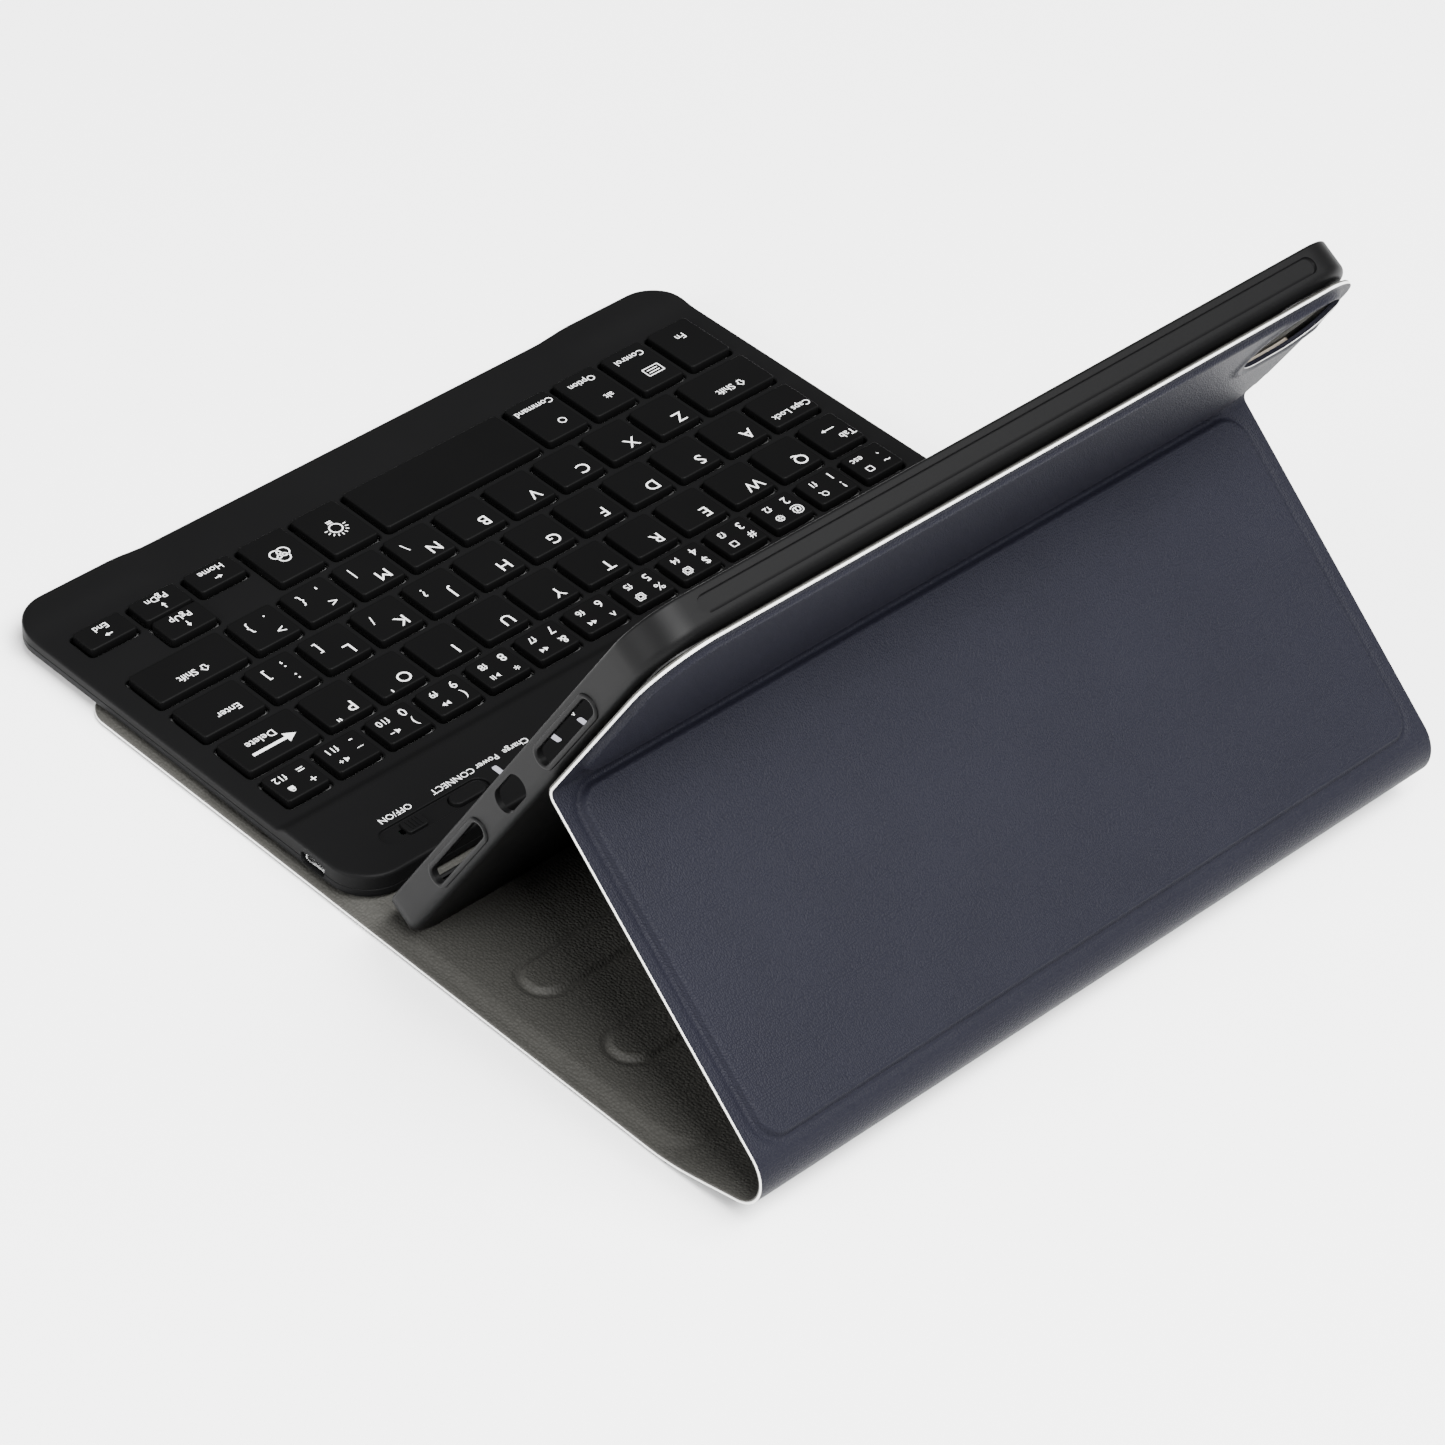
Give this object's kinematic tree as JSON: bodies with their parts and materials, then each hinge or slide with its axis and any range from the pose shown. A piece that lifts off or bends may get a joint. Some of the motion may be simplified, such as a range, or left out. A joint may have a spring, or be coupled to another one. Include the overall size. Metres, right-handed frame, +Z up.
{
  "type": "tablet keyboard case",
  "caption": "Folding leather tablet case standing open, with a soft tray for the tablet and a thin wireless keyboard on its base.",
  "frame": {"origin": "on the table under the middle of the outer box of the open case", "axes": "+X along the folds, +Y from the typist towards the spine, +Z up"},
  "size_m": [0.254, 0.3082, 0.1639],
  "materials": {
    "outer_skin": "fine grained",
    "lining": "pebbled",
    "board": "pressed greyboard",
    "tape": "adhesive film",
    "tray_plastic": "satin",
    "case_plastic": "fine matte",
    "key_plastic": "fine matte",
    "legend_ink": "printed legends",
    "rubber": "matte",
    "steel": "plain",
    "magnet": "nickel plated",
    "circuit": "solder mask",
    "film": "printed film",
    "silicone": "translucent",
    "light_window": "frosted",
    "cell": "foil pouch",
    "scissor_plastic": "moulded"
  },
  "bodies": {
    "base": {"base_outer_skin": "outer_skin", "base_board": "board", "wrap_board": "board", "flap_board": "board", "flap_magnets": "magnet", "dock_magnets": "magnet", "stop_strips": "board", "base_lining": "lining"},
    "spine": {"spine_skin": "outer_skin", "spine_board": "board", "spine_lining": "lining"},
    "lower_back": {"lower_back_skin": "outer_skin", "lower_back_board": "board", "lower_back_lining": "lining"},
    "upper_back": {"upper_back_skin": "outer_skin", "upper_back_board": "board", "upper_back_lining": "lining", "tray_adhesive": "tape", "tablet_tray": "tray_plastic"},
    "keyboard": {"keyboard_bottom_case": "case_plastic", "keyboard_top_case": "case_plastic", "keyboard_feet": "rubber", "case_screws": "steel", "keyboard_magnets": "magnet", "support_plate": "steel", "circuit_sheet": "film", "dome_sheet": "silicone", "scissor_frames": "scissor_plastic", "battery": "cell", "control_board": "circuit", "charging_socket": "steel", "slide_switch": "steel", "tact_switch": "steel", "status_leds": "light_window", "led_windows": "light_window"},
    "number_row_keys_body": {"number_row_keys": "key_plastic"},
    "upper_row_keys_body": {"upper_row_keys": "key_plastic"},
    "home_row_keys_body": {"home_row_keys": "key_plastic"},
    "lower_row_keys_body": {"lower_row_keys": "key_plastic"},
    "tab_key_body": {"tab_key": "key_plastic"},
    "caps_lock_key_body": {"caps_lock_key": "key_plastic"},
    "left_shift_key_body": {"left_shift_key": "key_plastic"},
    "fn_key_body": {"fn_key": "key_plastic"},
    "control_key_body": {"control_key": "key_plastic"},
    "option_key_body": {"option_key": "key_plastic"},
    "command_key_body": {"command_key": "key_plastic"},
    "space_key_body": {"space_key": "key_plastic"},
    "light_key_body": {"light_key": "key_plastic"},
    "colour_key_body": {"colour_key": "key_plastic"},
    "home_key_body": {"home_key": "key_plastic"},
    "page_up_key_body": {"page_up_key": "key_plastic"},
    "page_down_key_body": {"page_down_key": "key_plastic"},
    "end_key_body": {"end_key": "key_plastic"},
    "right_shift_key_body": {"right_shift_key": "key_plastic"},
    "enter_key_body": {"enter_key": "key_plastic"},
    "delete_key_body": {"delete_key": "key_plastic"},
    "power_slider_body": {"power_slider": "case_plastic"},
    "connect_button_body": {"connect_button": "case_plastic"}
  },
  "joints": [
    {"name": "base_fold", "type": "hinge", "parent": "base", "child": "spine", "pos_m": [0, 0.14471, 0.0015], "axis": [1, 0, 0], "range_deg": [-68, 0]},
    {"name": "spine_fold", "type": "hinge", "parent": "spine", "child": "lower_back", "pos_m": [0, 0.15319, 0.0225], "axis": [1, 0, 0], "range_deg": [-70, 0]},
    {"name": "stand_crease", "type": "hinge", "parent": "lower_back", "child": "upper_back", "pos_m": [0, 0.07412, 0.0937], "axis": [1, 0, 0], "range_deg": [0, 79]},
    {"name": "keyboard_lift", "type": "slide", "parent": "base", "child": "keyboard", "axis": [0, 0, 1], "range_m": [0, 0.05]},
    {"name": "number_row_keys_press", "type": "slide", "parent": "keyboard", "child": "number_row_keys_body", "axis": [0, 0, -1], "range_m": [0, 0.001], "stiffness_N_per_m": 3000, "springref_m": -0.0001},
    {"name": "upper_row_keys_press", "type": "slide", "parent": "keyboard", "child": "upper_row_keys_body", "axis": [0, 0, -1], "range_m": [0, 0.001], "stiffness_N_per_m": 3000, "springref_m": -0.0001},
    {"name": "home_row_keys_press", "type": "slide", "parent": "keyboard", "child": "home_row_keys_body", "axis": [0, 0, -1], "range_m": [0, 0.001], "stiffness_N_per_m": 3000, "springref_m": -0.0001},
    {"name": "lower_row_keys_press", "type": "slide", "parent": "keyboard", "child": "lower_row_keys_body", "axis": [0, 0, -1], "range_m": [0, 0.001], "stiffness_N_per_m": 3000, "springref_m": -0.0001},
    {"name": "tab_key_press", "type": "slide", "parent": "keyboard", "child": "tab_key_body", "axis": [0, 0, -1], "range_m": [0, 0.001], "stiffness_N_per_m": 450, "springref_m": -0.0001},
    {"name": "caps_lock_key_press", "type": "slide", "parent": "keyboard", "child": "caps_lock_key_body", "axis": [0, 0, -1], "range_m": [0, 0.001], "stiffness_N_per_m": 450, "springref_m": -0.0001},
    {"name": "left_shift_key_press", "type": "slide", "parent": "keyboard", "child": "left_shift_key_body", "axis": [0, 0, -1], "range_m": [0, 0.001], "stiffness_N_per_m": 450, "springref_m": -0.0001},
    {"name": "fn_key_press", "type": "slide", "parent": "keyboard", "child": "fn_key_body", "axis": [0, 0, -1], "range_m": [0, 0.001], "stiffness_N_per_m": 450, "springref_m": -0.0001},
    {"name": "control_key_press", "type": "slide", "parent": "keyboard", "child": "control_key_body", "axis": [0, 0, -1], "range_m": [0, 0.001], "stiffness_N_per_m": 450, "springref_m": -0.0001},
    {"name": "option_key_press", "type": "slide", "parent": "keyboard", "child": "option_key_body", "axis": [0, 0, -1], "range_m": [0, 0.001], "stiffness_N_per_m": 450, "springref_m": -0.0001},
    {"name": "command_key_press", "type": "slide", "parent": "keyboard", "child": "command_key_body", "axis": [0, 0, -1], "range_m": [0, 0.001], "stiffness_N_per_m": 450, "springref_m": -0.0001},
    {"name": "space_key_press", "type": "slide", "parent": "keyboard", "child": "space_key_body", "axis": [0, 0, -1], "range_m": [0, 0.001], "stiffness_N_per_m": 700, "springref_m": -0.0001},
    {"name": "light_key_press", "type": "slide", "parent": "keyboard", "child": "light_key_body", "axis": [0, 0, -1], "range_m": [0, 0.001], "stiffness_N_per_m": 450, "springref_m": -0.0001},
    {"name": "colour_key_press", "type": "slide", "parent": "keyboard", "child": "colour_key_body", "axis": [0, 0, -1], "range_m": [0, 0.001], "stiffness_N_per_m": 450, "springref_m": -0.0001},
    {"name": "home_key_press", "type": "slide", "parent": "keyboard", "child": "home_key_body", "axis": [0, 0, -1], "range_m": [0, 0.001], "stiffness_N_per_m": 450, "springref_m": -0.0001},
    {"name": "page_up_key_press", "type": "slide", "parent": "keyboard", "child": "page_up_key_body", "axis": [0, 0, -1], "range_m": [0, 0.001], "stiffness_N_per_m": 450, "springref_m": -0.0001},
    {"name": "page_down_key_press", "type": "slide", "parent": "keyboard", "child": "page_down_key_body", "axis": [0, 0, -1], "range_m": [0, 0.001], "stiffness_N_per_m": 450, "springref_m": -0.0001},
    {"name": "end_key_press", "type": "slide", "parent": "keyboard", "child": "end_key_body", "axis": [0, 0, -1], "range_m": [0, 0.001], "stiffness_N_per_m": 450, "springref_m": -0.0001},
    {"name": "right_shift_key_press", "type": "slide", "parent": "keyboard", "child": "right_shift_key_body", "axis": [0, 0, -1], "range_m": [0, 0.001], "stiffness_N_per_m": 450, "springref_m": -0.0001},
    {"name": "enter_key_press", "type": "slide", "parent": "keyboard", "child": "enter_key_body", "axis": [0, 0, -1], "range_m": [0, 0.001], "stiffness_N_per_m": 450, "springref_m": -0.0001},
    {"name": "delete_key_press", "type": "slide", "parent": "keyboard", "child": "delete_key_body", "axis": [0, 0, -1], "range_m": [0, 0.001], "stiffness_N_per_m": 450, "springref_m": -0.0001},
    {"name": "connect_button_press", "type": "slide", "parent": "keyboard", "child": "connect_button_body", "axis": [0, 0, -1], "range_m": [0, 0.0005], "stiffness_N_per_m": 900, "springref_m": -0.0001},
    {"name": "power_slider_slide", "type": "slide", "parent": "keyboard", "child": "power_slider_body", "axis": [1, 0, 0], "range_m": [0, 0.003]}
  ],
  "couplings": [
    {"joint": "spine_fold", "follows": "base_fold", "ratio": 1.0294},
    {"joint": "stand_crease", "follows": "base_fold", "ratio": -1.1618}
  ]
}
